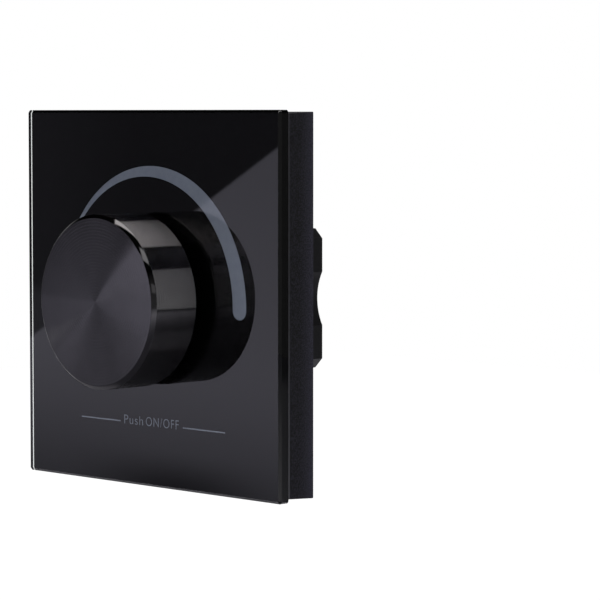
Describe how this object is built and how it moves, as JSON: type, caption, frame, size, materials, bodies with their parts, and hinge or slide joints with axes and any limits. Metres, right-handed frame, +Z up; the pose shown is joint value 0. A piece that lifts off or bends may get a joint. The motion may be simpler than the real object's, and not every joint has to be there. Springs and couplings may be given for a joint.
{
  "type": "rotary dimmer panel",
  "caption": "Square black glass wall panel with a round turn-and-push dimmer knob, on a clipped-on frame, with an eight-sided terminal box behind it for a round wall box.",
  "frame": {"origin": "on the knob's axis, in the plane of the wall that the base plate lies against", "axes": "+Z up, +X right as seen from the room, +Y into the wall, so the glass and knob face -Y"},
  "size_m": [0.086, 0.0461, 0.086],
  "materials": {
    "clear_glass": "clear polished glass with bevelled edges",
    "black_tape": "matt black bonding tape",
    "frame_plastic": "black moulded plastic with a fine grain",
    "box_plastic": "black moulded plastic with a fine grain",
    "knob_metal": "black anodised turned aluminium",
    "hub_plastic": "black moulded plastic",
    "board_laminate": "green solder mask over glass laminate",
    "encoder_plastic": "dark moulded plastic",
    "rotor_plastic": "natural white low-friction plastic",
    "spring_steel": "bare spring steel",
    "die_cast_zinc": "bare die-cast zinc",
    "plated_steel": "zinc plated steel",
    "contact_brass": "bare brass",
    "terminal_plastic": "black moulded plastic",
    "chip_resin": "black moulded resin",
    "can_aluminium": "drawn aluminium can",
    "ferrite": "dark grey ferrite"
  },
  "bodies": {
    "panel": {"glass_panel": "clear_glass", "adhesive_sheet": "black_tape", "front_frame": "frame_plastic", "base_plate": "frame_plastic", "rear_housing": "box_plastic", "housing_screws": "plated_steel", "circuit_board": "board_laminate", "encoder_base": "encoder_plastic", "encoder_pins": "contact_brass", "detent_spring": "spring_steel", "encoder_bushing": "die_cast_zinc", "encoder_clamp": "plated_steel", "switch_dome": "spring_steel", "terminal_block": "terminal_plastic", "wire_clamps": "contact_brass", "terminal_screws": "plated_steel", "control_chip": "chip_resin", "voltage_regulator": "chip_resin", "power_transistors": "chip_resin", "capacitor": "can_aluminium", "choke": "ferrite"},
    "rotor": {"encoder_rotor": "rotor_plastic", "encoder_wiper": "contact_brass"},
    "knob": {"knob": "knob_metal", "knob_hub": "hub_plastic", "encoder_shaft": "plated_steel", "shaft_clip": "spring_steel"},
    "plunger": {"switch_plunger": "rotor_plastic"}
  },
  "joints": [
    {"name": "knob_turn", "type": "hinge", "parent": "panel", "child": "rotor", "pos_m": [0, 0, 0], "axis": [0, 1, 0], "continuous": true},
    {"name": "knob_push", "type": "slide", "parent": "rotor", "child": "knob", "axis": [0, 1, 0], "range_m": [0, 0.001], "stiffness_N_per_m": 3000, "deforming": ["switch_dome"]},
    {"name": "plunger_slide", "type": "slide", "parent": "panel", "child": "plunger", "axis": [0, 1, 0], "range_m": [0, 0.001]}
  ],
  "couplings": [
    {"joint": "plunger_slide", "follows": "knob_push", "ratio": 1}
  ]
}
